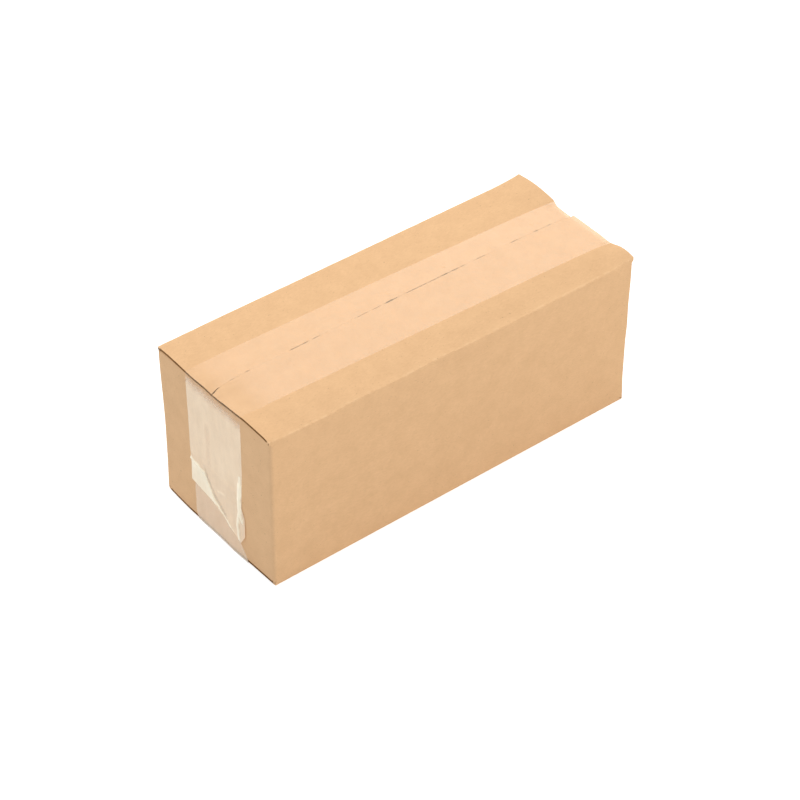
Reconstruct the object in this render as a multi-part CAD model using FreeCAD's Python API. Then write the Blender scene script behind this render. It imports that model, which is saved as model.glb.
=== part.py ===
"""Closed cardboard box: one folded sheet of single wall board, sealed with a tape above and a tape below.

Millimetres, +X along the length to the right end, +Y towards the back, +Z up. The origin is at the
centre of the footprint, on the surface that the box stands on.
"""
import FreeCAD, Part
import math
import os

# Board and its folds
board = 1.6
fold_inner_radius = 0.4

# Room inside the box
inner_length = 252.0
inner_width = 98.0
inner_height = 98.0

# Flaps: the inner ones fold in from the ends, the outer ones from the long sides
inner_flap_length = 50.0
inner_flap_side_gap = 1.2
flap_gap = 0.3
seam_gap = 0.8
top_seam_offset = 2.3
bottom_seam_offset = 0.0
top_flap_overhang = 1.2

# The top flaps stand up along their seam, and the tape draws them down at both ends
crown_height = 2.0
crown_left_ramp = 24.0
crown_right_ramp = 60.0
crown_facets = 6

# Tab inside the back right corner, which joins the sheet to a tube
tab_width = 32.0
tab_taper = 8.0

# Packing tape
film = 0.06
film_sag = 0.04
tape_width = 50.0
top_tape_left_y = 0.0
top_tape_right_y = -6.1
bottom_tape_left_y = -0.6
bottom_tape_right_y = 0.6
overhang_bridge = 6.0
loose_tail_angle = 2.0

# Height above the base of the tape tails on the two ends
top_tail_right = 35.0
bottom_tail_left = 45.0
bottom_tail_right = 45.0
# The left tail of the top tape ends askew: share of its width from its back edge, height above the base
top_tail_left = [(0.0, 26.0), (0.43, 23.0), (0.8, 12.5), (0.93, 9.5), (1.0, 13.0)]

# Places worked out from the sizes above
fold_radius = board + fold_inner_radius
outer_length = inner_length + 2 * board
outer_width = inner_width + 2 * board
outer_height = inner_height + 4 * board + 2 * flap_gap
loose_tail_slope = math.tan(math.radians(loose_tail_angle))
loose_tail_length = max(0.0, bottom_tail_left - min(height for _, height in top_tail_left))
left_reach = 2 * film + loose_tail_slope * loose_tail_length
right_reach = max(top_flap_overhang + film, 2 * film)
left = left_reach - (outer_length + left_reach + right_reach) / 2
right = left + outer_length
flap_end = right + top_flap_overhang
back = outer_width / 2
front = -back
base = film
top = base + outer_height
inner_flap_drop = board + flap_gap
wall_drop = inner_flap_drop + fold_radius


def polygon_prism(points, length):
    """A straight solid on a flat outline of 3-D points."""
    corners = [FreeCAD.Vector(*point) for point in points]
    return Part.Face(Part.makePolygon(corners + corners[:1])).extrude(FreeCAD.Vector(*length))


def rounded_outline(corners, z):
    """A closed flat wire through corners (x, y, radius), with an arc at each corner that has a radius."""
    edges, ends = [], []
    for i, (x, y, radius) in enumerate(corners):
        point = FreeCAD.Vector(x, y, z)
        before = FreeCAD.Vector(*corners[i - 1][:2], z) - point
        after = FreeCAD.Vector(*corners[(i + 1) % len(corners)][:2], z) - point
        before.normalize()
        after.normalize()
        start, end = point + before * radius, point + after * radius
        if radius:
            middle = point + (before + after) * radius * (1 - math.sqrt(0.5))
            edges.append(Part.Arc(start, middle, end).toShape())
        ends.append((start, end))
    for i, (start, end) in enumerate(ends):
        edges.append(Part.makeLine(ends[i - 1][1], start))
    return Part.Wire(Part.__sortEdges__(edges))


def fold_solid(place, sweep, flap_length, wall_length):
    """A wall folded into a flap. place takes the depth from the wall's face and the flap's to a point."""
    line = lambda a, b: Part.makeLine(place(*a), place(*b))
    outer_turn = fold_radius * (1 - math.sqrt(0.5))
    inner_turn = fold_radius - fold_inner_radius * math.sqrt(0.5)
    outer = [place(0, fold_radius), place(outer_turn, outer_turn), place(fold_radius, 0)]
    inner = [place(fold_radius, board), place(inner_turn, inner_turn), place(board, fold_radius)]
    flap_tip, wall_tip = fold_radius + flap_length, fold_radius + wall_length
    edges = [Part.Arc(*outer).toShape(), Part.Arc(*inner).toShape()]
    edges.append(line((flap_tip, 0), (flap_tip, board)))
    edges.append(line((0, wall_tip), (board, wall_tip)))
    if flap_length:
        edges.append(line((fold_radius, 0), (flap_tip, 0)))
        edges.append(line((fold_radius, board), (flap_tip, board)))
    if wall_length:
        edges.append(line((0, fold_radius), (0, wall_tip)))
        edges.append(line((board, fold_radius), (board, wall_tip)))
    return Part.Face(Part.Wire(Part.__sortEdges__(edges))).extrude(FreeCAD.Vector(*sweep))


def walls():
    """The four walls with rounded corners, and the joining tab behind the right end's raw edge."""
    low, high = base + wall_drop, top - wall_drop
    tab_face, tab_edge = right - 2 * board, back - tab_width
    outside = [
        (left, front, fold_radius),
        (right, front, fold_radius),
        (right, back, 0),
        (left, back, fold_radius),
    ]
    inside = [
        (left + board, front + board, fold_inner_radius),
        (right - board, front + board, fold_inner_radius),
        (right - board, tab_edge, 0),
        (tab_face, tab_edge, 0),
        (tab_face, back - board, fold_inner_radius),
        (left + board, back - board, fold_inner_radius),
    ]
    height = FreeCAD.Vector(0, 0, high - low)
    tube = Part.Face(rounded_outline(outside, low)).extrude(height)
    tube = tube.cut(Part.Face(rounded_outline(inside, low)).extrude(height))
    tube = tube.cut(raw_edge_groove(low, height))
    for end, turn in ((low, 1), (high, -1)):
        corner = [(tab_edge, end), (tab_edge + tab_width / 2, end), (tab_edge, end + turn * tab_taper)]
        tube = tube.cut(polygon_prism([(tab_face, y, z) for y, z in corner], (board, 0, 0)))
    return tube


def raw_edge_groove(low, height):
    """The groove between the right end's raw edge and the rounded fold into the tab."""
    x, y = right - board, back - fold_radius
    centre = FreeCAD.Vector(x - fold_radius, y, low)
    turn = fold_radius * math.sqrt(0.5)
    deep, flush = FreeCAD.Vector(x, y, low), FreeCAD.Vector(x - fold_radius, back, low)
    corner = FreeCAD.Vector(x, back, low)
    arc = Part.Arc(deep, centre + FreeCAD.Vector(turn, turn, 0), flush).toShape()
    outline = Part.Wire([arc, Part.makeLine(flush, corner), Part.makeLine(corner, deep)])
    return Part.Face(outline).extrude(height)


def inner_flaps():
    """The four flaps folded in from the ends, under the outer ones."""
    side = back - board - inner_flap_side_gap
    shapes = []
    for x, turn_x in ((left, 1), (right, -1)):
        for z, turn_z in ((base + inner_flap_drop, 1), (top - inner_flap_drop, -1)):
            place = lambda a, b: FreeCAD.Vector(x + turn_x * a, -side, z + turn_z * b)
            shapes.append(fold_solid(place, (0, 2 * side, 0), inner_flap_length - fold_radius, 0))
    return shapes


def bottom_flaps():
    """The two flat outer flaps below, up to their seam."""
    shapes = []
    for y, turn in ((front, 1), (back, -1)):
        flap_length = outer_width / 2 + turn * bottom_seam_offset - seam_gap / 2 - fold_radius
        place = lambda a, b: FreeCAD.Vector(left, y + turn * a, base + b)
        shapes.append(fold_solid(place, (outer_length, 0, 0), flap_length, inner_flap_drop))
    return shapes


def crown(x):
    """How far the top flaps' free edges stand above flat."""
    rise = crown_height
    for distance, ramp in ((x - left, crown_left_ramp), (flap_end - x, crown_right_ramp)):
        rise *= math.sin(math.pi / 2 * min(1.0, max(0.0, distance) / ramp))
    return rise


def crown_stations():
    """Places along the length that carry the crown's shape, closer together on its ramps."""
    steps = [i / crown_facets for i in range(crown_facets + 1)]
    ramp_up = [left + crown_left_ramp * step for step in steps]
    ramp_down = [flap_end - crown_right_ramp * step for step in reversed(steps)]
    return ramp_up + ramp_down


def top_line(x):
    """The top surface across the box at x, front to back: (y, z) at both folds and both free edges."""
    high = top + crown(x)
    seam = top_seam_offset
    return [
        (front + fold_radius, top), (seam - seam_gap / 2, high),
        (seam + seam_gap / 2, high), (back - fold_radius, top),
    ]


def bent_sheet(lines, up, down):
    """A solid in flat facets along lines, one across each station, from up above to down below them."""
    rows = []
    for shift in (up, -down):
        row = [[FreeCAD.Vector(x, y, z + shift) for y, z in line] for x, line in zip(crown_stations(), lines)]
        rows.append(row)
    upper, lower = rows
    facets = []
    for row in rows:
        for here, there in zip(row, row[1:]):
            for i in range(len(here) - 1):
                facets.append([here[i], there[i], there[i + 1]])
                facets.append([here[i], there[i + 1], here[i + 1]])
    for side in (0, -1):
        for i in range(len(upper) - 1):
            facets.append([upper[i][side], upper[i + 1][side], lower[i + 1][side], lower[i][side]])
        facets.append(upper[side] + lower[side][::-1])
    faces = [Part.Face(Part.makePolygon(facet + facet[:1])) for facet in facets]
    return Part.Solid(Part.Shell(faces)).removeSplitter()


def top_flaps():
    """The two outer flaps above, each folded over flat and raised towards the seam."""
    shapes = []
    for y, turn, part in ((front, 1, slice(0, 2)), (back, -1, slice(2, 4))):
        place = lambda a, b: FreeCAD.Vector(left, y + turn * a, top - b)
        shapes.append(fold_solid(place, (flap_end - left, 0, 0), 0, inner_flap_drop))
        shapes.append(bent_sheet([top_line(x)[part] for x in crown_stations()], 0, board))
    return shapes


def carton():
    """The whole folded sheet."""
    shape = walls()
    for piece in inner_flaps() + bottom_flaps() + top_flaps():
        shape = shape.fuse(piece)
    return shape.removeSplitter()


def slope_of(left_y, right_y):
    """How far a tape strays sideways for each millimetre towards the right."""
    return (right_y - left_y) / (right - left)


def strip(left_y, slope, end, low, height):
    """A tape's plan outline as a prism, from the left wall to end, straight but askew."""
    right_y, half = left_y + slope * (end - left), tape_width / 2
    points = [(left, left_y - half), (end, right_y - half), (end, right_y + half), (left, left_y + half)]
    return polygon_prism([(x, y, low) for x, y in points], (0, 0, height))


def tail_outline(y_centre, lean, start, loose_end):
    """A tape's outline on an end wall. It leans on in line with the strip, down or up to its loose end."""
    half = tape_width / 2
    outline = [(y_centre + half, start), (y_centre - half, start)]
    for share, height in reversed(loose_end):
        z = base + height
        outline.append((y_centre + half - share * tape_width + lean * abs(z - start), z))
    return outline


def tail(section, outline):
    """A tape's tail: its section (x, z) from the side, kept where its outline (y, z) on the end wall is."""
    side = polygon_prism([(x, -outer_width, z) for x, z in section], (0, 2 * outer_width, 0))
    return side.common(polygon_prism([(-outer_length, y, z) for y, z in outline], (2 * outer_length, 0, 0)))


def lower_section(wall, out, height):
    """The bottom tape's tail flat on an end wall. out is the film's thickness away from the box."""
    return [(wall, 0), (wall + out, 0), (wall + out, base + height), (wall, base + height)]


def upper_section(wall, flap_edge, out, step, slope):
    """The top tape's tail: over the flaps' edge, in to the wall, then over the other tail at a slope."""
    ledge, meet = top - board, top - board - overhang_bridge
    lift = math.copysign(slope * (base + step), out)
    inside = [(flap_edge, top + film), (flap_edge, ledge), (wall, meet), (wall, base + step)]
    outside = [(x + out, z) for x, z in inside[:3]] + [(wall + out, base + step + film)]
    over = [(wall + out, base + step), (wall + out + lift, 0)]
    over += [(wall + 2 * out + lift, 0), (wall + 2 * out, base + step + film)]
    return inside + over + outside[::-1]


def bottom_tape():
    """The tape under the bottom seam and up both ends."""
    slope = slope_of(bottom_tape_left_y, bottom_tape_right_y)
    shape = strip(bottom_tape_left_y, slope, right, 0, film)
    ends = (
        (left, bottom_tape_left_y, -slope, -film, bottom_tail_left),
        (right, bottom_tape_right_y, slope, film, bottom_tail_right),
    )
    for wall, y, lean, out, height in ends:
        outline = tail_outline(y, lean, 0, [(0.0, height), (1.0, height)])
        shape = shape.fuse(tail(lower_section(wall, out, height), outline))
    return shape.removeSplitter()


def top_tape(sheet):
    """The tape over the top seam and down both ends, where it lies over the bottom tape's tails."""
    slope = slope_of(top_tape_left_y, top_tape_right_y)
    skin = bent_sheet([top_line(x) for x in crown_stations()], film, film_sag)
    shape = skin.common(strip(top_tape_left_y, slope, flap_end, base, 2 * outer_height))
    shape = shape.cut(sheet)
    left_side = upper_section(left, left, -film, bottom_tail_left, loose_tail_slope)
    right_side = upper_section(right, flap_end, film, bottom_tail_right, 0.0)
    right_y = top_tape_left_y + slope * (flap_end - left)
    straight = [(0.0, top_tail_right), (1.0, top_tail_right)]
    ends = (
        (left_side, top_tape_left_y, -slope, top_tail_left),
        (right_side, right_y, slope, straight),
    )
    for section, y, lean, loose_end in ends:
        shape = shape.fuse(tail(section, tail_outline(y, lean, top + film, loose_end)))
    return shape.removeSplitter()


def build():
    """Every piece by its name."""
    sheet = carton()
    return {"carton": sheet, "top_tape": top_tape(sheet), "bottom_tape": bottom_tape()}


def main():
    os.makedirs("parts", exist_ok=True)
    for name, shape in build().items():
        shape.exportStep(f"parts/{name}.step")
        print(name, "solids", len(shape.Solids), "volume", round(shape.Volume, 1))


if __name__ == "__main__":
    main()
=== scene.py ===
"""A closed carton of kraft board, sealed above and below with clear packing tape, on a white studio floor."""
import math

import bmesh
import bpy
from mathutils import Matrix, Vector, noise


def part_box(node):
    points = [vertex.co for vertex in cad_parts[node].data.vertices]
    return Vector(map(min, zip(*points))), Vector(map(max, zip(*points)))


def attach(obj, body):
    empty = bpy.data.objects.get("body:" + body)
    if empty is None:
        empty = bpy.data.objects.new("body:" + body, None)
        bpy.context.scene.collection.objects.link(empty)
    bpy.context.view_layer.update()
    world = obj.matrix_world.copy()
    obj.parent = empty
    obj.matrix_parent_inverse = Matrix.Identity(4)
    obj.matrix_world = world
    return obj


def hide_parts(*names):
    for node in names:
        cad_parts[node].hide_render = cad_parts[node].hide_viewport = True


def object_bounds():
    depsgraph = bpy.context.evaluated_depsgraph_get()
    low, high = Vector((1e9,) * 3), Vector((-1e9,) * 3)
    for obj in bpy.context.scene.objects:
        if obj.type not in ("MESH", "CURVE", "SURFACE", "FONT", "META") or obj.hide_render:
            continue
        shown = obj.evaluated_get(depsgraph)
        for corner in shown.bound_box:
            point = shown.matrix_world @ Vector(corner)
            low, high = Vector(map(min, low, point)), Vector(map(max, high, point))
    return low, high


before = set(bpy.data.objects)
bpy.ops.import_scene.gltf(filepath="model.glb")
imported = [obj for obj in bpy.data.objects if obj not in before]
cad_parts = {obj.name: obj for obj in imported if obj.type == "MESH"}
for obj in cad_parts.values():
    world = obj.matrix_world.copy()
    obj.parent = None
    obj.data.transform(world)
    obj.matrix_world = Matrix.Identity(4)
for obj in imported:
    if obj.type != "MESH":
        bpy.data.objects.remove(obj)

cad_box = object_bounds()

bl_info = {
    "name": "Taped carton",
    "version": (1, 0, 0),
    "blender": (4, 5, 0),
    "location": "3D View > Sidebar > Carton",
    "description": "Folds a closed board carton and lays its packing tape",
    "category": "Object",
}

MM = 0.001

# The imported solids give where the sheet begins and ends
sheet_low, sheet_high = (Vector(corner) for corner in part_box("carton"))
LEFT, FLAP_END = sheet_low.x, sheet_high.x
FRONT, BACK = sheet_low.y, sheet_high.y
BASE = sheet_low.z


def length(name, description, millimetres):
    """A size in the settings, given in millimetres and kept in metres."""
    return bpy.props.FloatProperty(
        name=name, description=description, default=millimetres * MM, unit="LENGTH", subtype="DISTANCE")


def colour(name, description, hex_code):
    """A colour in the settings, given as sRGB hex."""
    return bpy.props.FloatVectorProperty(
        name=name, description=description, default=linear(hex_code), size=4, subtype="COLOR", min=0, max=1)


def linear(hex_code):
    """sRGB hex to the linear values that shaders use."""
    channels = [int(hex_code[i:i + 2], 16) / 255 for i in (1, 3, 5)]
    return tuple(c / 12.92 if c <= 0.04045 else ((c + 0.055) / 1.055) ** 2.4 for c in channels) + (1.0,)


class BoardSettings(bpy.types.PropertyGroup):
    """Sizes and colours of the folded sheet."""
    thickness: length("Board thickness", "Outer face to inner face of the board", 1.6)
    fold_radius: length("Fold radius", "Outer radius of each scored fold", 2.0)
    height: length("Height", "Bottom flaps to the flat of the top flaps", 105.0)
    overhang: length("Overhang", "Top flaps past the right end wall", 1.2)
    recess: length("Recess", "Bottom flaps short of the end walls", 0.6)
    flap_gap: length("Flap gap", "Air between an outer and an inner flap", 0.3)
    seam_offset: length("Seam offset", "Top seam from the middle, towards the back", 2.3)
    seam_gap: length("Seam gap", "Between the outer flaps where the seam is open", 0.8)
    inner_flap: length("Inner flap", "Length of the flaps folded in from the ends", 50.0)
    tab: length("Tab", "Width of the joining tab inside the back right corner", 32.0)
    crown: length("Crown", "Rise of the top flaps at their seam", 1.8)
    crown_left: length("Crown left", "Run over which the crown rises from the left end", 24.0)
    crown_right: length("Crown right", "Run over which the crown falls to the right end", 60.0)
    droop: length("Droop", "How far the tape draws the seam down at each end", 0.8)
    liner: length("Liner", "Thickness of the paper on each face of the board", 0.25)
    grid: length("Grid", "Spacing of the mesh over the panels", 3.0)
    fine: length("Fine grid", "Spacing of the mesh along the top seam", 1.0)
    kraft: colour("Kraft", "Plain brown kraft paper", "#DBB286")
    fluting: colour("Fluting", "The rougher paper inside the board", "#A57A4C")


class TapeSettings(bpy.types.PropertyGroup):
    """Sizes and colours of the packing tape."""
    film: length("Film", "Thickness of the tape", 0.05)
    stand: length("Stand", "Film's underside above the board", 0.02)
    width: length("Width", "Width of the tape", 49.5)
    top_left: length("Top tape left", "Middle of the top tape at the left end", -0.25)
    top_right: length("Top tape right", "Middle of the top tape at the right end", -6.35)
    jog: length("Jog", "How far the left tail kinks towards the back under the flaps", 1.0)
    under_left: length("Bottom tape left", "Middle of the bottom tape at the left end", -2.6)
    under_right: length("Bottom tape right", "Middle of the bottom tape at the right end", 0.6)
    top_tail: length("Top tail", "End of the top tape above the base, on the right", 35.0)
    under_tail: length("Bottom tail", "End of the bottom tape above the base", 45.0)
    bridge: length("Bridge", "Drop over which the top tape comes in under the overhang", 6.0)
    grid: length("Grid", "Spacing of the mesh over the tape", 0.8)
    # The colours below are picked by the film's milkiness, which also paints its reflection of the bright
    # surroundings and the highlights on its creases
    clear: colour("Clear film", "Film that lies close on the board", "#F7E3C8")
    dull: colour("Dull film", "Film with a little air under it", "#FFE8CA")
    milky: colour("Milky film", "Film that has come away from the board", "#FFE4C0")
    white: colour("White film", "Film that is creased or folded", "#FFF0D2")


class StageSettings(bpy.types.PropertyGroup):
    """Camera, floor and lamps."""
    camera_place: bpy.props.FloatVectorProperty(
        name="Camera", description="Place of the camera", default=(-0.7518, -0.9352, 1.0711), subtype="XYZ",
        unit="LENGTH")
    turn: bpy.props.FloatProperty(
        name="Turn", description="Camera's turn about the vertical", default=math.radians(-38.80),
        subtype="ANGLE")
    tilt: bpy.props.FloatProperty(
        name="Tilt", description="Camera's tilt below the horizontal", default=math.radians(40.875),
        subtype="ANGLE")
    roll: bpy.props.FloatProperty(
        name="Roll", description="Camera's roll about its own axis", default=math.radians(0.48),
        subtype="ANGLE")
    lens: bpy.props.FloatProperty(
        name="Lens", description="Focal length on a 36 mm sensor", default=124.6, unit="CAMERA")
    key: bpy.props.FloatProperty(
        name="Key", description="Power of the lamp behind and above", default=28.5, unit="POWER")
    front: bpy.props.FloatProperty(
        name="Front", description="Power of the lamp before the long side", default=17.0, unit="POWER")
    cool: bpy.props.FloatProperty(
        name="Cool", description="Power of the bluish lamp beyond the left end", default=4.6, unit="POWER")
    cool_tint: colour("Cool tint", "Colour of that lamp", "#B9DBFF")
    sky: bpy.props.FloatProperty(name="Sky", description="Strength of the even light all round", default=0.68)


def board():
    """The settings of the board."""
    return bpy.context.scene.carton_board


def tape():
    """The settings of the tape."""
    return bpy.context.scene.carton_tape


def top():
    """Height of the flat of the top flaps."""
    return BASE + board().height


def right_wall():
    """Place of the right end wall's outer face."""
    return FLAP_END - board().overhang


# Modelling helpers

def middle(item):
    """The middle of a vertex, an edge or a face of a mesh in edit mode."""
    if isinstance(item, bmesh.types.BMVert):
        return item.co
    return sum((v.co for v in item.verts), Vector()) / len(item.verts)


def pick(obj, kind, test):
    """In edit mode, select only what passes the test: kind is VERT, EDGE or FACE."""
    mesh = bmesh.from_edit_mesh(obj.data)
    mesh.select_mode = {kind}
    bpy.context.tool_settings.mesh_select_mode = [kind == k for k in ("VERT", "EDGE", "FACE")]
    items = {"VERT": mesh.verts, "EDGE": mesh.edges, "FACE": mesh.faces}
    for group in items.values():
        for item in group:
            item.select_set(False)
    found = [item for item in items[kind] if test(item)]
    for item in found:
        item.select_set(True)
    if not found:
        raise RuntimeError(f"Nothing to select on {obj.name}")
    bmesh.update_edit_mesh(obj.data)


def near(value, target, reach=0.02 * MM):
    return abs(value - target) < reach


def start_editing(name):
    """Name the new primitive, fix its place in its mesh and enter edit mode."""
    obj = bpy.context.object
    obj.name = obj.data.name = name
    bpy.ops.object.transform_apply(location=True, rotation=True, scale=True)
    bpy.ops.object.mode_set(mode="EDIT")
    return obj


def extrude(move):
    bpy.ops.mesh.extrude_region_move(TRANSFORM_OT_translate={"value": move})


def fold(obj, edge_test, axis, centre, angle, steps=5):
    """Turn the chosen edge about a fold line, leaving a rounded strip behind it."""
    pick(obj, "EDGE", edge_test)
    bpy.ops.mesh.spin(steps=steps, angle=-angle, center=centre, axis=axis)


def slice_along(obj, axis, places):
    """Cut the whole mesh by a plane at each place along an axis, so that it can be shaped."""
    normal = Vector((0, 0, 0))
    normal[axis] = 1
    for place in places:
        bpy.ops.mesh.select_all(action="SELECT")
        bpy.ops.mesh.bisect(plane_co=normal * place, plane_no=normal)


def spread(start, end, step):
    """Even places between start and end, no further apart than step."""
    count = max(1, math.ceil(abs(end - start) / step))
    return [start + (end - start) * i / count for i in range(count + 1)]


def apply_all(obj):
    for modifier in list(obj.modifiers):
        bpy.ops.object.modifier_apply(modifier=modifier.name)


def smooth(share):
    """From nothing to one with a soft start and end, held beyond both."""
    share = min(1.0, max(0.0, share))
    return share * share * (3 - 2 * share)


def bump(distance, reach):
    """One at no distance, falling smoothly to nothing at reach."""
    return smooth(1 - abs(distance) / reach)


# How the used carton differs from a square one

def crown(x):
    """Rise of the seam: quick from the left end, slow to the right one."""
    b = board()
    rise = b.crown
    for distance, ramp in ((x - LEFT, b.crown_left), (FLAP_END - x, b.crown_right)):
        rise *= math.sin(math.pi / 2 * min(1.0, max(0.0, distance) / ramp))
    return rise


def seam_share(y):
    """Nothing at the long folds, one at the seam."""
    b = board()
    fold_line = FRONT + b.fold_radius if y < b.seam_offset else BACK - b.fold_radius
    return min(1.0, max(0.0, (y - fold_line) / (b.seam_offset - fold_line)))


# Dents, in mm from the front left bottom corner: place, reach and how far the board gives way there
DENTS = (
    ((256.4, 6.0, 105.0), 14.0, (0.0, 0.0, 2.0)),
    ((256.4, 21.0, 105.0), 10.0, (0.0, 0.0, -1.0)),
    ((256.4, 45.0, 105.0), 16.0, (0.0, 0.0, 0.5)),
    ((256.4, 87.0, 105.0), 24.0, (0.0, 0.0, 1.8)),
    ((255.2, 0.0, 92.0), 34.0, (0.7, 0.0, 0.0)),
    ((255.2, 0.0, 58.0), 16.0, (0.5, 0.0, 0.0)),
    ((255.2, 0.0, 0.0), 18.0, (0.8, 0.0, 0.0)),
    ((21.0, 0.0, 105.0), 9.0, (0.0, 0.35, -0.3)),
    ((108.0, 0.0, 105.0), 9.0, (0.0, 0.15, -0.4)),
    ((0.0, 101.2, 105.0), 60.0, (-1.4, 0.0, 0.0)),
)

# Height of the long top folds against the square box: (millimetres from the left end, rise in millimetres)
FRONT_FOLD = (
    (0.0, -0.2), (12.0, -0.7), (30.0, -1.3), (44.0, -1.3), (52.0, -0.5), (66.0, -0.6), (88.0, -1.4),
    (100.0, -1.0), (112.0, -0.7), (126.0, -1.6), (140.0, -2.0), (240.0, -2.0), (250.0, -1.6), (260.0, -0.6),
)
BACK_FOLD = ((-4.0, 0.6), (40.0, 0.6), (100.0, 0.0), (246.0, -0.9), (252.0, -0.7), (258.0, 0.1))

# How far the left end of the top flaps stands up: (millimetres from the front, millimetres)
LEFT_LID = (
    (0.0, 0.4), (4.0, 1.2), (22.0, 1.4), (30.0, 0.8), (40.0, 0.5), (46.0, 0.1), (54.0, 0.2), (60.0, 0.8),
    (68.0, 0.3), (78.0, 0.5), (92.0, 0.6), (102.0, 0.0),
)

# How far the foot of the left wall stands out: (millimetres from the front, millimetres)
LEFT_FOOT = (
    (0.0, 0.0), (12.0, 0.3), (26.0, 0.7), (36.0, 1.2), (50.0, 0.9), (80.0, 1.25), (92.0, 0.8), (102.0, 0.2),
)

# Seam between the top flaps: stretches in millimetres from the left end, and how far open each one is
SEAM_STRETCHES = (
    (0.0, 5.0, 0.9), (12.0, 16.0, 0.15), (23.0, 25.0, 0.45), (53.0, 60.0, 0.38), (61.0, 65.0, 0.55),
    (68.0, 71.0, 0.38), (71.0, 73.0, 0.25), (99.0, 106.0, 0.32), (110.0, 115.0, 0.28), (119.0, 124.5, 1.0),
    (125.0, 127.0, 0.45), (134.0, 148.0, 0.44), (149.0, 157.0, 0.4), (158.0, 164.0, 0.6),
    (165.0, 171.0, 0.6), (172.0, 175.0, 0.38), (184.0, 190.0, 0.4), (209.0, 211.0, 0.55),
    (211.0, 214.0, 0.38), (215.0, 217.0, 0.2), (227.0, 229.0, 0.8), (230.0, 234.0, 0.15),
    (236.0, 239.0, 0.4), (241.0, 249.0, 0.15), (250.0, 257.0, 1.0),
)

# How the taped top flaps lie against square ones
SHUT_GAP = 0.02 * MM  # between the flaps where the seam is shut
CLOSING_REACH = 25 * MM  # width of each flap that moves to shut the seam
SEAM_REACH = 30 * MM  # width of each flap that goes with the seam where it strays
SEAM_DRIFT = 0.8 * MM  # of the seam towards the front, from the middle to the right end
SEAM_KINK = 1.4 * MM  # of the seam towards the front, at the very left end
LEFT_END_OUT = 0.6 * MM  # of the flaps past the left wall
TORN_END = Vector((-1.0, 0, -1.3)) * MM  # of the back flap beside the seam, at the right end
BACK_STEP = 0.15 * MM  # of the back flap above the front one, where the seam is open

# Sharpness of the scored folds, as the power of a superellipse: 2 is a round bend
FLAP_FOLD_POWER = 16
WALL_FOLD_POWER = 6

# A point further out than this share of the radius is on the flat, not on the bend
ON_BEND = 1.02

# How far the bends of the lid's rim reach down the walls
RIM_DEPTH = 14 * MM

# How far the walls sink in between their folds, and the size of the patches that sink more or less
LONG_WALL_HOLLOW = 0.35 * MM
END_WALL_HOLLOW = 0.25 * MM
HOLLOW_PATCH = 70 * MM

# How far back the rubbing along the long top folds has worn them
RUBBED_AWAY = 0.3 * MM


def seam_opening(x):
    """How far open the top seam is at a place, from nothing to one."""
    at = (x - LEFT) / MM
    rough = 1 + 0.5 * noise.noise(Vector((at / 2.5, 0, 0)))
    return min(1.0, rough * max(share * smooth((at - start + 1) / 2) * smooth((end + 1 - at) / 2)
                                for start, end, share in SEAM_STRETCHES))


def shift_flaps(x, y):
    """How the tape and the seam move the top flaps where they are free."""
    b = board()
    from_seam = y - b.seam_offset
    half = b.seam_gap / 2
    opening = seam_opening(x)
    closing = (half - SHUT_GAP) * (1 - opening) * bump(from_seam, CLOSING_REACH)
    shift = Vector((0, -closing * max(-1.0, min(1.0, from_seam / half)), crown(x) * seam_share(y)))
    shift.x -= LEFT_END_OUT * bump(x - LEFT, 8 * MM)
    shift.y -= SEAM_DRIFT * smooth((x + 5 * MM) / (90 * MM)) * bump(from_seam, SEAM_REACH)
    shift.y -= SEAM_KINK * bump(x - LEFT, 5 * MM) * bump(from_seam, SEAM_REACH)
    if from_seam > 0:
        sunk = bump(FLAP_END - x, 14 * MM) * smooth((18 * MM - from_seam) / (6 * MM))
        shift += TORN_END * sunk
        clear_of_ends = smooth((x - LEFT) / (30 * MM)) * (1 - sunk)
        shift.z += BACK_STEP * bump(from_seam, 12 * MM) * opening * clear_of_ends
    return shift


def square_up(in_a, in_b, power):
    """How far a point on a round bend, in shares of its radius, goes out towards the square corner."""
    out = math.hypot(in_a, in_b)
    if not in_a or not in_b or out > ON_BEND:
        return 0.0, 0.0
    share = min(1.0, out * out) * (out / (in_a ** power + in_b ** power) ** (1 / power) - 1)
    return in_a * share, in_b * share


def sharpen_bends(point):
    """Scored folds are sharper than a round bend. The front left upright keeps its round one."""
    b = board()
    radius, drop = b.fold_radius, b.thickness + b.flap_gap
    centre = Vector(((LEFT + right_wall()) / 2, 0, (BASE + top()) / 2))
    half = Vector(((right_wall() - LEFT) / 2, BACK, b.height / 2))
    away = point - centre
    x, y, z = (max(0.0, abs(a) - h + radius) / radius for a, h in zip(away, half))
    inner_z = max(0.0, abs(away.z) - half.z + drop + radius) / radius
    out = Vector((0, 0, 0))
    out.y, out.z = square_up(y, z, FLAP_FOLD_POWER)
    if abs(away.z) < half.z - drop + 0.01 * MM:
        if not y:
            out.x, out.z = square_up(x, inner_z, WALL_FOLD_POWER)
        elif x and math.hypot(x, y) < ON_BEND:
            if away.x > 0 or away.y > 0:
                out.x, out.y = square_up(x, y, WALL_FOLD_POWER)
            # The rim of the upright fold rises into the corner that the flaps leave open
            from_rim = half.z - drop - radius - abs(away.z)
            out.z = min(1.0, 3.6 * x * y / (x * x + y * y)) * smooth(1 - from_rim / (2 * radius))
    return Vector(math.copysign(o * radius, a) for o, a in zip(out, away))


def fold_nibble(x):
    """How far the long top folds are worn back at a place, from nothing to one."""
    return 0.5 + 0.5 * noise.noise(Vector((x / (6 * MM), 7.3, 0)))


def along_line(points, place):
    """The height of an open line of (place, height) at a place."""
    for (a, low), (b, high) in zip(points, points[1:]):
        if place <= b:
            return low + (high - low) * max(0.0, place - a) / (b - a)
    return points[-1][1]


def keep_inside(point):
    """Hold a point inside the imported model's own bounds."""
    margin = 0.01 * MM
    return Vector(min(max(value, low + margin), high - margin) for value, low, high in zip(point, *cad_box))


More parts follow.
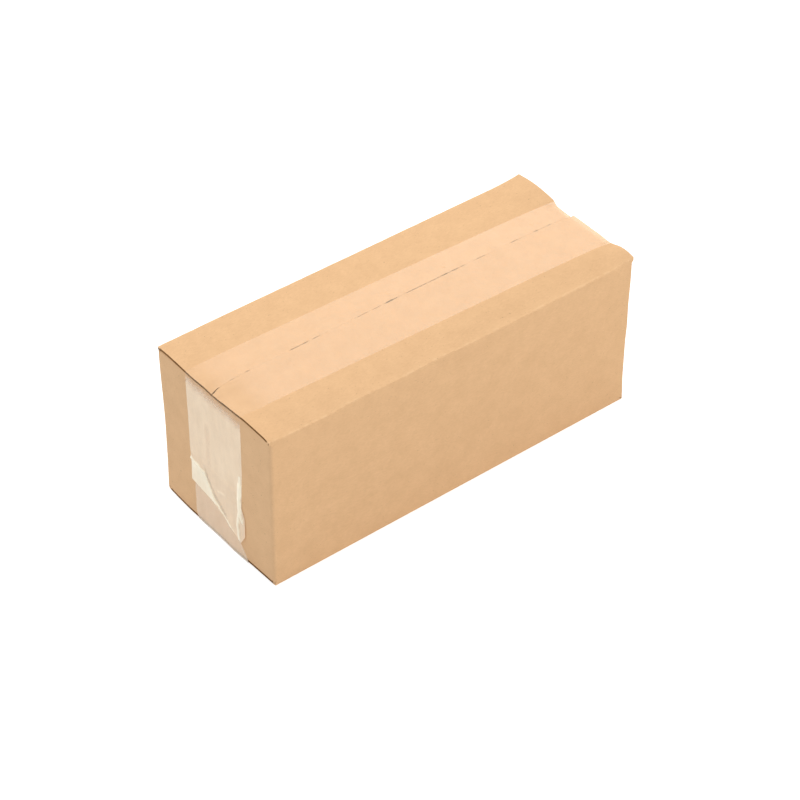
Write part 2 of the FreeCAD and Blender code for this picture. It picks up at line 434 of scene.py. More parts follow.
def tape_pull(x, y):
    """How much the tape draws the lid down: one at the left end, and more across the right one."""
    at_left = bump(x - LEFT, 16 * MM) * bump(y - board().seam_offset, 30 * MM)
    at_right = bump(FLAP_END - x, 18 * MM) * bump(y + 6 * MM, 36 * MM)
    return at_left + 1.6 * at_right


def settle(point):
    """Where a point of the square carton lies on the used one."""
    b = board()
    point = Vector(point)
    x, y, z = point
    moved = point + sharpen_bends(point)
    if z > top() - b.thickness - b.flap_gap / 2:
        moved += shift_flaps(x, y)
    rim = smooth(1 - (top() - z) / RIM_DEPTH)
    moved.z -= rim * b.droop * tape_pull(x, y)
    for fold_y, reach, rises in ((FRONT, 16 * MM, FRONT_FOLD), (BACK, 34 * MM, BACK_FOLD)):
        moved.z += rim * bump(y - fold_y, reach) * along_line(rises, (x - LEFT) / MM) * MM
    from_corner = point - Vector((LEFT, FRONT, BASE))
    moved.z += rim * bump(from_corner.x, 12 * MM) * along_line(LEFT_LID, from_corner.y / MM) * MM
    foot = bump(from_corner.z, 26 * MM) * bump(from_corner.x, 30 * MM)
    moved.x -= foot * along_line(LEFT_FOOT, from_corner.y / MM) * MM
    for place, reach, give in DENTS:
        moved += Vector(give) * MM * bump((from_corner - Vector(place) * MM).length, reach * MM)
    on_fold = bump(BACK - abs(y), 5 * MM) * bump(top() - z, 5 * MM)
    moved.y -= math.copysign(RUBBED_AWAY, y) * on_fold * fold_nibble(x)
    sway = noise.noise(point / HOLLOW_PATCH) * 0.5 + 0.5
    inner = 1 - abs(2 * (z - (BASE + top()) / 2) / b.height) ** 4
    moved.y -= LONG_WALL_HOLLOW * sway * inner * (y / BACK) * (1 - abs(2 * x / (FLAP_END - LEFT)) ** 6)
    moved.x -= END_WALL_HOLLOW * (1 - sway) * inner * (x / FLAP_END) * (1 - abs(y / BACK) ** 6)
    return keep_inside(moved)


# Shader helpers

def node(tree, kind, settings=None, **links):
    """Add a node with its settings. A link names an input, or numbers it as i0, and gives what goes in."""
    new = tree.nodes.new(kind)
    for key, value in (settings or {}).items():
        setattr(new, key, value)
    for key, value in links.items():
        numbered = key[0] == "i" and key[1:].isdigit()
        socket = new.inputs[int(key[1:]) if numbered else key.replace("_", " ")]
        if isinstance(value, bpy.types.NodeSocket):
            tree.links.new(value, socket)
        else:
            socket.default_value = value
    return new


def new_material(name):
    material = bpy.data.materials.new(name)
    material.use_nodes = True
    material.node_tree.nodes.clear()
    return material, material.node_tree


def tinted(base, red, green, blue):
    """A colour with its channels multiplied, none above one."""
    return tuple(min(1.0, channel * k) for channel, k in zip(base, (red, green, blue))) + (1.0,)


def kraft_liner():
    """Kraft liner: unbleached pulp in long fibres, dull and even brown with pale and dark flecks."""
    material, tree = new_material("kraft_liner")
    place = node(tree, "ShaderNodeTexCoord").outputs["Object"]
    cloudy = node(tree, "ShaderNodeTexNoise", Vector=place, Scale=1 / (9 * MM), Detail=4.0, Roughness=0.6)
    # Pulp fibres are 2 to 3 mm long and far finer than shows, so they are drawn as streaks about 0.5 mm wide
    along = node(tree, "ShaderNodeMapping", Vector=place, Scale=(1.0, 4.0, 4.0))
    fibres = node(tree, "ShaderNodeTexNoise", Vector=along.outputs[0], Scale=1 / (2.2 * MM), Detail=5.0,
                  Roughness=0.7)
    flecks = node(tree, "ShaderNodeTexNoise", Vector=place, Scale=1 / (0.9 * MM), Detail=2.0)
    base = board().kraft
    dark, pale = tinted(base, 0.97, 0.96, 0.95), tinted(base, 1.03, 1.03, 1.03)
    mottle = node(tree, "ShaderNodeValToRGB", Fac=cloudy.outputs["Fac"])
    for stop, at, tint in zip(mottle.color_ramp.elements, (0.32, 0.68), (dark, pale)):
        stop.position, stop.color = at, tint
    hairs = node(tree, "ShaderNodeValToRGB", Fac=fibres.outputs["Fac"])
    shade, shine = (0.90, 0.88, 0.86, 1), (1.05, 1.05, 1.05, 1)
    for stop, at, tint in zip(hairs.color_ramp.elements, (0.35, 0.65), (shade, shine)):
        stop.position, stop.color = at, tint
    brushed = node(tree, "ShaderNodeMix", {"data_type": "RGBA", "blend_type": "MULTIPLY"},
                   i0=0.6, i6=mottle.outputs[0], i7=hairs.outputs[0])
    fleck_mask = node(tree, "ShaderNodeMapRange", Value=flecks.outputs["Fac"], From_Min=0.7, From_Max=0.75)
    specked = node(tree, "ShaderNodeMix", {"data_type": "RGBA", "blend_type": "MIX"},
                   i0=fleck_mask.outputs[0], i6=brushed.outputs[2], i7=tinted(base, 0.55, 0.55, 0.55))
    # Paler rubbed patches: real wear of the kraft, and along the long top folds also a painted highlight on
    # the fold edge
    wear_and_highlight = node(tree, "ShaderNodeAttribute", {"attribute_name": "wear_and_highlight", "attribute_type": "GEOMETRY"})
    rub_and_highlight_noise = node(tree, "ShaderNodeTexNoise", Vector=place, Scale=1 / (3.5 * MM), Detail=4.0, Roughness=0.6)
    rub_and_highlight_mask = node(tree, "ShaderNodeMapRange", Value=rub_and_highlight_noise.outputs["Fac"], From_Min=0.48, From_Max=0.6)
    worn_and_highlit = node(tree, "ShaderNodeMath", {"operation": "MULTIPLY"},
                i0=wear_and_highlight.outputs["Fac"], i1=rub_and_highlight_mask.outputs[0])
    scuffed_and_highlit = node(tree, "ShaderNodeMix", {"data_type": "RGBA", "blend_type": "MIX"},
                   i0=worn_and_highlit.outputs[0], i6=specked.outputs[2], i7=tinted(base, 1.08, 1.12, 1.16))
    relief = node(tree, "ShaderNodeBump", Strength=0.25, Distance=0.05 * MM, Height=fibres.outputs["Fac"])
    shader = node(tree, "ShaderNodeBsdfPrincipled", Base_Color=scuffed_and_highlit.outputs[2], Roughness=0.85, IOR=1.45,
                  Normal=relief.outputs[0], Specular_IOR_Level=0.3)
    node(tree, "ShaderNodeOutputMaterial", Surface=shader.outputs[0])
    return material


def cut_board():
    """Die-cut edge of corrugated board: two pale liner lines with dark, torn fluting between them."""
    material, tree = new_material("cut_board")
    place = node(tree, "ShaderNodeTexCoord").outputs["Object"]
    torn = node(tree, "ShaderNodeTexNoise", Vector=place, Scale=1 / (0.8 * MM), Detail=4.0, Roughness=0.7)
    shades = node(tree, "ShaderNodeValToRGB", Fac=torn.outputs["Fac"])
    base = board().fluting
    dark, pale = tinted(base, 0.7, 0.7, 0.7), tinted(base, 1.15, 1.15, 1.15)
    for stop, at, tint in zip(shades.color_ramp.elements, (0.3, 0.7), (dark, pale)):
        stop.position, stop.color = at, tint
    relief = node(tree, "ShaderNodeBump", Strength=0.6, Distance=0.2 * MM, Height=torn.outputs["Fac"])
    shader = node(tree, "ShaderNodeBsdfPrincipled", Base_Color=shades.outputs[0], Roughness=0.95, IOR=1.45,
                  Normal=relief.outputs[0])
    node(tree, "ShaderNodeOutputMaterial", Surface=shader.outputs[0])
    return material


def packing_film():
    """Clear polypropylene film: glossy and thin, milkier where creases and air keep it off the board. Its
    milkiness also paints its reflection of the bright surroundings, highlights on its creases and shade
    lines.
    """
    material, tree = new_material("packing_film")
    t = tape()
    place = node(tree, "ShaderNodeTexCoord").outputs["Object"]
    # Milkiness of the film, which also carries painted reflection, painted highlights and painted shade
    haze_and_light = node(tree, "ShaderNodeAttribute", {"attribute_name": "haze_and_light", "attribute_type": "GEOMETRY"})
    upright = node(tree, "ShaderNodeMapping", Vector=place, Scale=(1.0, 1.0, 0.4))
    patches = node(tree, "ShaderNodeTexNoise", Vector=upright.outputs[0], Scale=1 / (9 * MM), Detail=5.0,
                   Roughness=0.6)
    spots = node(tree, "ShaderNodeMapRange", Value=patches.outputs["Fac"], From_Min=0.3, From_Max=0.7,
                 To_Min=0.88, To_Max=1.12)
    cover = node(tree, "ShaderNodeMath", {"operation": "MULTIPLY", "use_clamp": True},
                 i0=haze_and_light.outputs["Fac"], i1=spots.outputs[0])
    milk = node(tree, "ShaderNodeValToRGB", Fac=haze_and_light.outputs["Fac"])
    stops = milk.color_ramp.elements
    for stop, tint in ((0.29, t.dull), (0.7, t.milky)):
        stops.new(stop).color = tint
    stops[0].position, stops[0].color = 0.14, t.clear
    stops[3].position, stops[3].color = 0.95, t.white
    ripples = node(tree, "ShaderNodeTexNoise", Vector=upright.outputs[0], Scale=1 / (11 * MM), Detail=2.0)
    relief = node(tree, "ShaderNodeBump", Strength=0.2, Distance=0.15 * MM, Height=ripples.outputs["Fac"])
    shader = node(tree, "ShaderNodeBsdfPrincipled", Base_Color=milk.outputs[0], Roughness=0.2, IOR=1.6,
                  Alpha=cover.outputs[0], Normal=relief.outputs[0])
    node(tree, "ShaderNodeOutputMaterial", Surface=shader.outputs[0])
    return material


def studio_floor():
    """Seamless white paper: dull and even, seen as pure white with only the object's own shadow."""
    material, tree = new_material("studio_floor")
    paper = node(tree, "ShaderNodeBsdfDiffuse", Color=(0.8, 0.8, 0.8, 1))
    glow = node(tree, "ShaderNodeEmission", Color=(1, 1, 1, 1), Strength=0.5)
    seen = node(tree, "ShaderNodeAddShader", i0=paper.outputs[0], i1=glow.outputs[0])
    white = node(tree, "ShaderNodeEmission", Color=(1, 1, 1, 1), Strength=1.0)
    path = node(tree, "ShaderNodeLightPath")
    direct = node(tree, "ShaderNodeMixShader", i0=path.outputs["Is Camera Ray"], i1=paper.outputs[0],
                  i2=seen.outputs[0])
    mirrored = node(tree, "ShaderNodeMixShader", i0=path.outputs["Is Glossy Ray"], i1=direct.outputs[0],
                    i2=white.outputs[0])
    node(tree, "ShaderNodeOutputMaterial", Surface=mirrored.outputs[0])
    return material


# Pieces

# Between the joining tab and the end wall that it is glued to
GLUE_GAP = 0.05 * MM

# How deep the fluting lies behind the liners at a cut edge
FLUTING_DEPTH = 1.0 * MM

# Parts of the box near its ends, where the sheet and the tapes are cut more finely
NEAR_END = 16 * MM

# Only a long wall's own edge is longer than the first, and only a whole wall's than the second
LONG_WALL_LEAST = 100 * MM
END_WALL_LEAST = 50 * MM


def tube(obj):
    """The four walls: a box without its ends, its upright folds rounded, open at the glued corner."""
    b = board()
    radius, right = b.fold_radius, right_wall()
    pick(obj, "FACE", lambda f: abs(f.normal.z) > 0.9)
    bpy.ops.mesh.delete(type="FACE")

    def upright(edge):
        return abs(edge.verts[0].co.z - edge.verts[1].co.z) > radius

    def upright_at(edge, x, y):
        return upright(edge) and near(middle(edge).x, x) and near(middle(edge).y, y)

    corners = [(x, y) for x in (LEFT, right) for y in (FRONT, BACK)]
    pick(obj, "EDGE", lambda e: any(upright_at(e, x, y) for x, y in corners))
    bpy.ops.mesh.bevel(offset=radius, segments=5, affect="EDGES")
    pick(obj, "FACE", lambda f: middle(f).x > right - radius + 1e-6 and middle(f).y > BACK - radius + 1e-6)
    bpy.ops.mesh.delete(type="FACE")
    pick(obj, "EDGE", lambda e: upright_at(e, right, BACK - radius))
    extrude((0, radius, 0))
    # The joining tab goes on from the back wall, one board further in than the end wall that it is glued to
    pick(obj, "VERT", lambda v: near(v.co.x, right - radius) and near(v.co.y, BACK))
    bpy.ops.transform.translate(value=(-b.thickness, 0, 0))
    turn_x = right - b.thickness - radius
    fold(obj, lambda e: upright_at(e, turn_x, BACK), (0, 0, 1), (turn_x, BACK - radius, 0), math.radians(-90))
    pick(obj, "EDGE", lambda e: upright_at(e, turn_x + radius, BACK - radius))
    extrude((0, radius - b.tab, 0))
    pick(obj, "VERT", lambda v: v.co.y > FRONT + radius and near(v.co.x, turn_x + radius))
    bpy.ops.transform.translate(value=(-GLUE_GAP, 0, 0))


def level_at(edge, height):
    """Whether an edge lies level at a height."""
    return all(near(vertex.co.z, height) for vertex in edge.verts)


def outer_flap(obj, y, turn, z, up, ends, seam):
    """Fold a long wall's edge over into an outer flap as long as the box, up to the seam."""
    b = board()
    radius, drop = b.fold_radius, b.thickness + b.flap_gap
    wall_end = z - up * (drop + radius)
    pick(obj, "EDGE",
         lambda e: level_at(e, wall_end) and near(middle(e).y, y) and e.calc_length() > LONG_WALL_LEAST)
    extrude((0, 0, up * drop))
    stub = wall_end + up * drop
    for side, target in zip((-1, 1), ends):
        pick(obj, "VERT", lambda v: near(v.co.z, stub) and near(v.co.y, y) and v.co.x * side > 0)
        mesh = bmesh.from_edit_mesh(obj.data)
        now = next(v.co.x for v in mesh.verts if v.select)
        bpy.ops.transform.translate(value=(target - now, 0, 0))
    fold(obj, lambda e: level_at(e, stub) and near(middle(e).y, y), (1, 0, 0),
         (0, y + turn * radius, z - up * radius), math.radians(90) * -turn * up, steps=6)
    pick(obj, "EDGE", lambda e: level_at(e, z) and near(middle(e).y, y + turn * radius))
    extrude((0, seam - (y + turn * radius), 0))


def inner_flap(obj, x, turn, z, up):
    """Fold an end wall's edge over into an inner flap."""
    b = board()
    radius = b.fold_radius
    level = z - up * (b.thickness + b.flap_gap)
    wall_end = level - up * radius
    fold(obj, lambda e: level_at(e, wall_end) and near(middle(e).x, x) and e.calc_length() > END_WALL_LEAST,
         (0, 1, 0), (x + turn * radius, 0, wall_end), math.radians(90) * turn * up)
    pick(obj, "EDGE", lambda e: level_at(e, level) and near(middle(e).x, x + turn * radius))
    extrude((turn * (b.inner_flap - radius), 0, 0))


def grid_places():
    """Where the sheet is cut for shaping: closer together near both ends."""
    b = board()
    along = spread(LEFT, LEFT + NEAR_END, b.grid / 2)
    along += spread(LEFT + NEAR_END, FLAP_END - NEAR_END, b.grid)[1:-1]
    along += spread(FLAP_END - NEAR_END, FLAP_END, b.grid / 2)
    deep = spread(FRONT + b.fold_radius, b.seam_offset, b.grid)
    deep += spread(b.seam_offset, BACK - b.fold_radius, b.grid)
    high = spread(BASE, top(), b.grid)
    return along[1:-1], deep, high[2:-2]


def refine_seam(obj):
    """Cut the top flaps more finely where the tape bends them and along their seam."""
    b = board()
    for axis, reach, start, end in ((1, 24 * MM, b.seam_offset - 22 * MM, b.seam_offset + 22 * MM),
                                    (0, 5 * MM, LEFT + b.fine, FLAP_END - b.fine)):
        pick(obj, "FACE", lambda f: near(middle(f).z, top()) and abs(middle(f).y - b.seam_offset) < reach)
        bpy.ops.mesh.hide(unselected=True)
        slice_along(obj, axis, spread(start, end, b.fine))
        bpy.ops.mesh.reveal(select=False)


def groove_cut_edges(obj):
    """Sink the fluting between the two liners along every cut edge of the board."""
    b = board()
    for face in obj.data.polygons:
        on_long_fold = abs(face.center.y) > BACK - b.fold_radius and abs(face.normal.y) < 0.9
        if face.material_index == 1 and on_long_fold:
            face.material_index = 0
    bpy.ops.object.mode_set(mode="EDIT")
    pick(obj, "FACE", lambda f: f.material_index == 1)
    bpy.ops.mesh.inset(thickness=b.liner, use_boundary=True, use_even_offset=False)
    bpy.ops.mesh.extrude_region_shrink_fatten(TRANSFORM_OT_shrink_fatten={"value": -FLUTING_DEPTH})
    bpy.ops.object.mode_set(mode="OBJECT")


def fold_wear_and_highlight(point):
    """How rubbed the board is, with a painted highlight along the edge of the long top folds: most on the
    flaps' side of the long top folds, a little on the uprights.
    """
    ends = min(abs(point.x - LEFT), abs(point.x - right_wall()))
    sides = min(abs(point.y - FRONT), abs(point.y - BACK))
    reach = 2.4 * MM
    top_folds = bump(sides, reach) * bump(top() - point.z, 1.4 * MM)
    uprights = 0.2 * bump(math.hypot(ends, sides), reach)
    return max(top_folds, uprights)


def move_vertices(obj, change):
    for vertex in obj.data.vertices:
        vertex.co = change(vertex.co)
    obj.data.update()


class CARTON_OT_fold_board(bpy.types.Operator):
    """Fold the sheet into a closed carton"""
    bl_idname = "carton.fold_board"
    bl_label = "Fold Board"

    def execute(self, context):
        b = board()
        wall_low = BASE + b.thickness + b.flap_gap + b.fold_radius
        wall_high = top() - (wall_low - BASE)
        bpy.ops.object.select_all(action="DESELECT")
        centre = ((LEFT + right_wall()) / 2, 0, (wall_low + wall_high) / 2)
        bpy.ops.mesh.primitive_cube_add(size=1, location=centre,
                                        scale=(right_wall() - LEFT, BACK - FRONT, wall_high - wall_low))
        obj = start_editing("folded_board")
        tube(obj)
        under = LEFT + b.recess, right_wall() - b.recess
        for z, up, ends, seam in ((top(), 1, (LEFT, FLAP_END), b.seam_offset), (BASE, -1, under, 0.0)):
            outer_flap(obj, FRONT, 1, z, up, ends, seam - b.seam_gap / 2)
            outer_flap(obj, BACK, -1, z, up, ends, seam + b.seam_gap / 2)
            inner_flap(obj, LEFT, 1, z, up)
            inner_flap(obj, right_wall(), -1, z, up)
        for axis, places in enumerate(grid_places()):
            slice_along(obj, axis, places)
        refine_seam(obj)
        bpy.ops.mesh.select_all(action="SELECT")
        bpy.ops.mesh.remove_doubles(threshold=0.005 * MM)
        bpy.ops.mesh.normals_make_consistent(inside=False)
        bpy.ops.object.mode_set(mode="OBJECT")
        obj.data.materials.append(kraft_liner())
        obj.data.materials.append(cut_board())
        wall = obj.modifiers.new("board", "SOLIDIFY")
        wall.thickness, wall.offset, wall.use_even_offset = b.thickness, -1, True
        wall.material_offset_rim = 1
        apply_all(obj)
        groove_cut_edges(obj)
        # How rubbed each point is, which also places the painted fold highlight
        wear_and_highlight = obj.data.attributes.new("wear_and_highlight", "FLOAT", "POINT")
        for vertex, value in zip(obj.data.vertices, wear_and_highlight.data):
            value.value = fold_wear_and_highlight(vertex.co)
        move_vertices(obj, settle)
        bpy.ops.object.shade_smooth_by_angle(angle=math.radians(35))
        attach(obj, "root")
        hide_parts("carton")
        return {"FINISHED"}


def lean_of(y_left, y_right):
    """How far a tape strays towards the back for each metre from the left wall to the right one."""
    return (y_right - y_left) / (right_wall() - LEFT)


def step_over(z):
    """How far a tail of the top tape stands out where it lies on the bottom tape's tail."""
    t = tape()
    run = 2 * MM
    return (t.film + t.stand) * smooth((BASE + t.under_tail + run - z) / run)


# Loose end of the top tape on the left wall: share of its width from the back edge, height above the base
LOOSE_END = ((0.0, 26.0), (0.43, 23.0), (0.8, 15.6), (0.94, 11.5), (1.0, 18.0))

# How far that end stands off the wall for each metre below the upper end of the bottom tape
LOOSE_SLOPE = 0.02

# How far wrinkles draw in the front edge of each tape on the left wall: (height above the base, millimetres)
TAIL_DRAWN_IN = ((0.0, -1.8), (16.0, -1.8), (31.0, -1.1), (37.0, 1.6), (49.0, 1.3), (61.0, 0.6), (105.0, 0.6))
UNDER_DRAWN_IN = ((0.0, 0.4), (3.0, 0.9), (7.0, 4.2), (13.0, 9.0), (45.0, 9.4))

# The same for the back edges, which come forward
TAIL_BACK = ((0.0, 1.2), (38.0, 1.0), (50.0, 0.0), (105.0, 0.0))
UNDER_BACK = ((0.0, 3.2), (5.0, 0.8), (12.0, 0.2), (20.0, -0.8), (45.0, -0.8))


def drawn_in(sideways, height, front_line, back_line):
    """Where a point across the tape goes when its edges are drawn in."""
    share = max(-1.0, min(1.0, 2 * sideways / tape().width))
    pull = along_line(front_line, height / MM) if share < 0 else -along_line(back_line, height / MM)
    return sideways + pull * MM * share * share


def film_rows(stations, place, across):
    """A flat grid whose rows and columns are then placed on the box by place(station, share across)."""
    bpy.ops.object.select_all(action="DESELECT")
    rows = len(stations) - 1
    bpy.ops.mesh.primitive_grid_add(x_subdivisions=rows, y_subdivisions=across, size=1)
    obj = bpy.context.object
    low, high = (corner.x for corner in cad_box)
    room = 1.2 * tape().film
    for vertex in obj.data.vertices:
        point = place(stations[round((vertex.co.x + 0.5) * rows)], vertex.co.y + 0.5)
        point.x = min(max(point.x, low + room), high - room)
        vertex.co = point
    return obj


def finish_film(obj, name, node_name, haze_and_light):
    """Give the film its thickness, its haze with the painted light carried in it, and its place in the frame.
    """
    t = tape()
    obj.name = obj.data.name = name
    values = obj.data.attributes.new("haze_and_light", "FLOAT", "POINT")
    for vertex, value in zip(obj.data.vertices, values.data):
        value.value = haze_and_light(vertex.co)
    wall = obj.modifiers.new("film", "SOLIDIFY")
    wall.thickness, wall.offset = t.film, 1
    bpy.context.view_layer.objects.active = obj
    apply_all(obj)
    bpy.ops.object.shade_smooth_by_angle(angle=math.radians(50))
    obj.data.materials.append(packing_film())
    obj.visible_shadow = False
    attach(obj, "root")
    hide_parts(node_name)


# Creases of the loose left tail, among them short glints whose whitening is a painted highlight: both ends in
# mm from the box's back and top, then half width and height
CREASES_AND_GLINTS = (
    (((23.9, 36.0), (24.1, 62.0)), 1.8, 0.12),
    (((24.3, 63.0), (38.0, 66.0)), 1.5, 0.8),
    (((38.0, 66.0), (47.3, 79.4)), 1.4, 0.8),
    (((47.3, 79.4), (54.8, 83.2)), 1.4, 0.8),
    (((54.8, 83.2), (66.5, 91.3)), 1.0, 0.5),
    # A glint, raised a little and whitened as a painted highlight
    (((50.5, 71.0), (56.5, 69.3)), 1.8, 0.16),
    (((71.2, 46.0), (71.0, 52.0)), 1.4, 0.3),
    (((71.0, 52.0), (70.0, 63.0)), 2.4, 0.7),
    (((70.0, 63.0), (70.6, 71.0)), 2.4, 0.9),
    (((70.6, 71.0), (72.6, 77.5)), 1.8, 0.9),
    (((70.0, 73.0), (68.6, 82.5)), 1.6, 0.6),
    (((68.6, 82.5), (70.5, 92.0)), 1.5, 0.6),
)

# Ridge of the longest crease, below which the tail is folded double: mm from the box's back, mm from its top
RIDGE = ((24.0, 63.5), (38.0, 66.0), (47.3, 79.4), (64.0, 92.0))


def crease_height(across, drop):
    """How far the creases of the loose tail stand out, at a place in mm from the box's back and top."""
    out = 0.0
    for (a, b), width, height in CREASES_AND_GLINTS:
        a, b, here = Vector(a), Vector(b), Vector((across, drop))
        run = b - a
        share = min(1.0, max(0.0, (here - a).dot(run) / run.length_squared))
        away = (here - a - run * share).length
        out = max(out, height * bump(away, width))
    return out


def lid_haze_and_light(point):
    """Milkiness of the top tape on the flaps, which also paints part of the film's reflection of the bright
    surroundings: close on the board, looser to the right and at that end.
    """
    along = (point.x - LEFT) / MM
    clear, base, slope = (8, 0.13, 0.05) if point.y < board().seam_offset else (0, 0.105, 0.10)
    base = (base + slope * along / 255) * (0.35 + 0.65 * smooth((along - clear) / 16))
    return base + 0.2 * bump(FLAP_END - point.x, 5 * MM)


def loose_haze_and_light(across, drop):
    """Milkiness of the loose left tail, at a place in mm from the box's back and top. It also paints the
    film's reflection of the bright surroundings, highlights on creases and a shade line by the ridge.
    """
    # Milky from a ragged line under the fold, and less so again below the bottom tape's end
    ragged = 2 * noise.noise(Vector((across / 6, 0, 0)))
    value = 0.05 + 0.67 * smooth((drop - 1 - across / 30 - ragged) / 10) - 0.1 * smooth((drop - 58) / 4)
    # A darker stripe down the middle, where the film touches the board
    value -= 0.14 * bump(across - 42, 3) * smooth((drop - 26) / 6) * smooth((62 - drop) / 8)
    # The doubled film under the ridge is whitest, and just above it the film is made clearer to paint a shade
    # line beside the ridge
    from_ridge = drop - along_line(RIDGE, across)
    doubled = smooth(from_ridge / 1.5) * smooth((49 - across) / 2)
    value += 0.32 * doubled * (0.85 + 0.15 * bump(from_ridge, 12))
    value -= 0.3 * bump(from_ridge + 3.2, 3) * smooth((across - 37) / 3) * smooth((60 - across) / 3)
    # Creases whiten the film: partly real creasing, partly painted highlights along them
    return min(1.0, value + 0.6 * smooth(crease_height(across, drop) / 0.4))


def top_haze_and_light(point):
    """How milky the top tape is: clear on the flaps, milky on the ends, whitest where it is creased. The
    milkiness also paints reflection of the bright surroundings on the ends and highlights on the creases.
    """
    across, drop = (BACK - point.y) / MM, (top() - point.z) / MM
    if drop < 2 and point.x > LEFT - 1 * MM:
        return lid_haze_and_light(point)
    # On the right end the milkiness is partly a painted reflection of the bright surroundings
    return 0.5 if point.x > 0 else loose_haze_and_light(across, drop)


def under_haze_and_light(point):
    """How milky the bottom tape is: even, with a painted reflection of the bright surroundings in it, and
    clearer along the base, where that paints the shade line under the bottom edge.
    """
    return 0.41 - 0.25 * bump(point.z - BASE, 2.5 * MM)


class CARTON_OT_lay_top_tape(bpy.types.Operator):
    """Lay the tape over the top seam and down both ends"""
    bl_idname = "carton.lay_top_tape"
    bl_label = "Lay Top Tape"

    def execute(self, context):
        b, t = board(), tape()
        lean = lean_of(t.top_left, t.top_right)
        end_y = t.top_left + lean * (FLAP_END - LEFT)
        level = top() + t.stand
        left_length, right_length = 90 * MM, 70 * MM
        stations = [("left", share) for share in spread(0, 1, t.grid / left_length)[:-1]]
        stations += [("top", x) for x in spread(LEFT - t.stand, LEFT + NEAR_END, b.grid / 2)]
        stations += [("top", x) for x in spread(LEFT + NEAR_END, FLAP_END - NEAR_END, b.fine)[1:-1]]
        stations += [("top", x) for x in spread(FLAP_END - NEAR_END, FLAP_END + t.stand, b.grid / 2)]
        stations += [("right", share) for share in spread(0, 1, 3 * t.grid / right_length)[1:]]

        def place(station, share):
            part, value = station
            sideways = (share - 0.5) * t.width
            if part == "top":
                y = t.top_left + lean * (value - LEFT)
                return settle((value, y + sideways, level))
            if part == "left":
                loose = BASE + along_line(LOOSE_END, 1 - share) * MM
                z = loose + (level - loose) * value
                y = t.top_left + t.jog * smooth((level - z) / t.bridge) - 0.4 * lean * (level - z)
                loose_by = max(0.0, BASE + t.under_tail - z) * LOOSE_SLOPE
                x = LEFT - t.stand - step_over(z) - loose_by
                point = settle((x, y + drawn_in(sideways, z - BASE, TAIL_DRAWN_IN, TAIL_BACK), z))
                point.x -= crease_height((BACK - point.y) / MM, (top() - point.z) / MM) * MM
                return point
            z = level + (BASE + t.top_tail - level) * value
            y = end_y + lean * (level - z)
            inward = smooth((level - b.thickness - z) / t.bridge) * b.overhang
            return settle((FLAP_END + t.stand - inward + step_over(z), y + sideways, z))

        obj = film_rows(stations, place, round(t.width / t.grid))
        finish_film(obj, "top_film", "top_tape", top_haze_and_light)
        return {"FINISHED"}


class CARTON_OT_lay_bottom_tape(bpy.types.Operator):
    """Lay the tape under the bottom seam and up both ends"""
    bl_idname = "carton.lay_bottom_tape"
    bl_label = "Lay Bottom Tape"

    def execute(self, context):
        b, t = board(), tape()
        right = right_wall()
        lean = lean_of(t.under_left, t.under_right)
        level = BASE - t.stand / 2
        rise = spread(0, t.under_tail, t.grid * 2)
        stations = [("left", height) for height in rise[::-1]]
        stations += [("under", x) for x in spread(LEFT - t.stand, right + t.stand, b.grid)]
        stations += [("right", height) for height in rise]

        def place(station, share):
            part, value = station
            sideways = (0.5 - share) * t.width
            if part == "under":
                return Vector((value, t.under_left + lean * (value - LEFT) + sideways, level))
            if part == "left":
                sideways = drawn_in(sideways, value, UNDER_DRAWN_IN, UNDER_BACK)
                return settle((LEFT - t.stand, t.under_left - lean * value + sideways, level + value))
            return settle((right + t.stand, t.under_right + lean * value + sideways, level + value))

        obj = film_rows(stations, place, round(t.width / t.grid / 2))
        finish_film(obj, "bottom_film", "bottom_tape", under_haze_and_light)
        return {"FINISHED"}


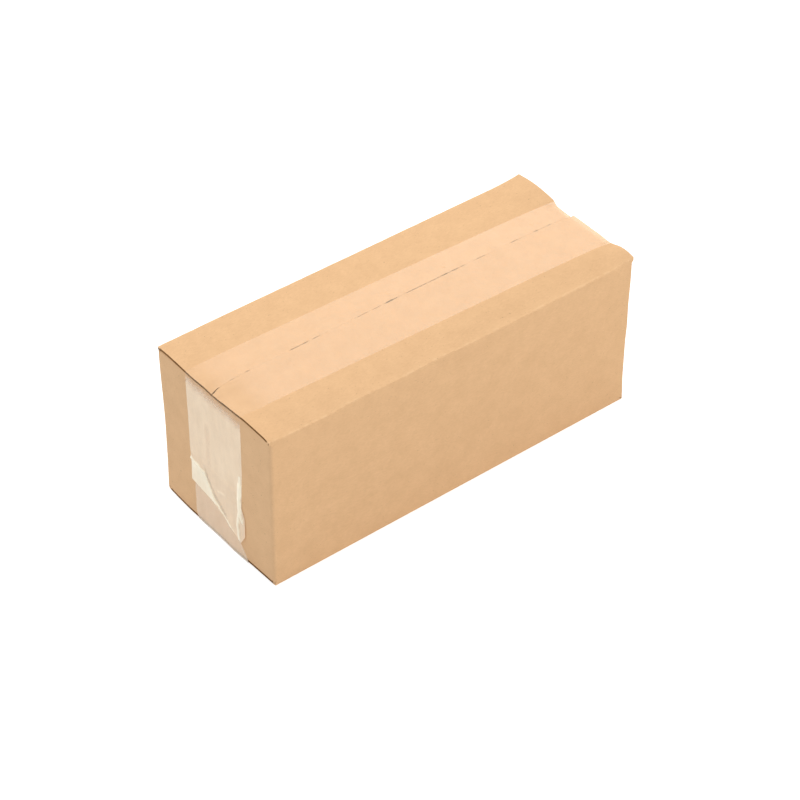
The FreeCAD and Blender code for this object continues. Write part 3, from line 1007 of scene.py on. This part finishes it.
class CARTON_OT_set_stage(bpy.types.Operator):
    """Set the floor, the lamps, the even light all round and the camera"""
    bl_idname = "carton.set_stage"
    bl_label = "Set Stage"

    def execute(self, context):
        s = context.scene.carton_stage
        bpy.ops.object.select_all(action="DESELECT")
        bpy.ops.mesh.primitive_plane_add(size=12)
        floor = context.object
        floor.name = "floor"
        floor.data.materials.append(studio_floor())
        self.add_lamp("key_lamp", (-0.1, 1.6, 1.25), 1.2, s.key)
        self.add_lamp("front_lamp", (0.9, -1.6, 1.0), 1.2, s.front)
        self.add_lamp("cool_lamp", (-1.7, 0.1, 0.8), 1.2, s.cool, s.cool_tint[:3])
        self.light_world(s.sky)
        self.add_camera(s)
        context.scene.view_settings.view_transform = "Standard"
        return {"FINISHED"}

    def add_lamp(self, name, place, size, power, tint=(1, 1, 1)):
        bpy.ops.object.light_add(type="AREA", location=place)
        lamp = bpy.context.object
        lamp.name = name
        lamp.data.shape, lamp.data.size, lamp.data.energy, lamp.data.color = "SQUARE", size, power, tint
        lamp.rotation_euler = (-Vector(place)).to_track_quat("-Z", "Y").to_euler()
        lamp.visible_glossy = False

    def light_world(self, strength):
        world = bpy.context.scene.world or bpy.data.worlds.new("studio")
        bpy.context.scene.world = world
        world.use_nodes = True
        tree = world.node_tree
        tree.nodes.clear()
        path = node(tree, "ShaderNodeLightPath")
        seen = node(tree, "ShaderNodeMath", {"operation": "MAXIMUM"},
                    i0=path.outputs["Is Camera Ray"], i1=path.outputs["Is Glossy Ray"])
        even = node(tree, "ShaderNodeBackground", Color=(1, 1, 1, 1), Strength=strength)
        white = node(tree, "ShaderNodeBackground", Color=(1, 1, 1, 1), Strength=1.0)
        mixed = node(tree, "ShaderNodeMixShader", i0=seen.outputs[0], i1=even.outputs[0], i2=white.outputs[0])
        node(tree, "ShaderNodeOutputWorld", Surface=mixed.outputs[0])

    def add_camera(self, s):
        bpy.ops.object.camera_add(location=s.camera_place)
        camera = bpy.context.object
        camera.name = "camera"
        camera.data.sensor_width, camera.data.lens = 36.0, s.lens
        look = Matrix.Rotation(s.turn, 4, "Z") @ Matrix.Rotation(math.radians(90) - s.tilt, 4, "X")
        look = look @ Matrix.Rotation(s.roll, 4, "Z")
        camera.rotation_euler = look.to_euler()
        bpy.context.scene.camera = camera


class CARTON_PT_panel(bpy.types.Panel):
    """The steps that make the carton"""
    bl_label = "Carton"
    bl_space_type = "VIEW_3D"
    bl_region_type = "UI"
    bl_category = "Carton"

    def draw(self, context):
        for step in STEPS:
            self.layout.operator(step.bl_idname)


STEPS = (CARTON_OT_fold_board, CARTON_OT_lay_top_tape, CARTON_OT_lay_bottom_tape, CARTON_OT_set_stage)
SETTINGS = {"carton_board": BoardSettings, "carton_tape": TapeSettings, "carton_stage": StageSettings}


def register():
    for group in (*SETTINGS.values(), *STEPS, CARTON_PT_panel):
        bpy.utils.register_class(group)
    for name, group in SETTINGS.items():
        setattr(bpy.types.Scene, name, bpy.props.PointerProperty(type=group))


def unregister():
    for name in SETTINGS:
        delattr(bpy.types.Scene, name)
    for group in (CARTON_PT_panel, *reversed(STEPS), *reversed(SETTINGS.values())):
        bpy.utils.unregister_class(group)


def main():
    register()
    bpy.ops.carton.fold_board()
    bpy.ops.carton.lay_top_tape()
    bpy.ops.carton.lay_bottom_tape()
    bpy.ops.carton.set_stage()


if __name__ == "__main__":
    main()
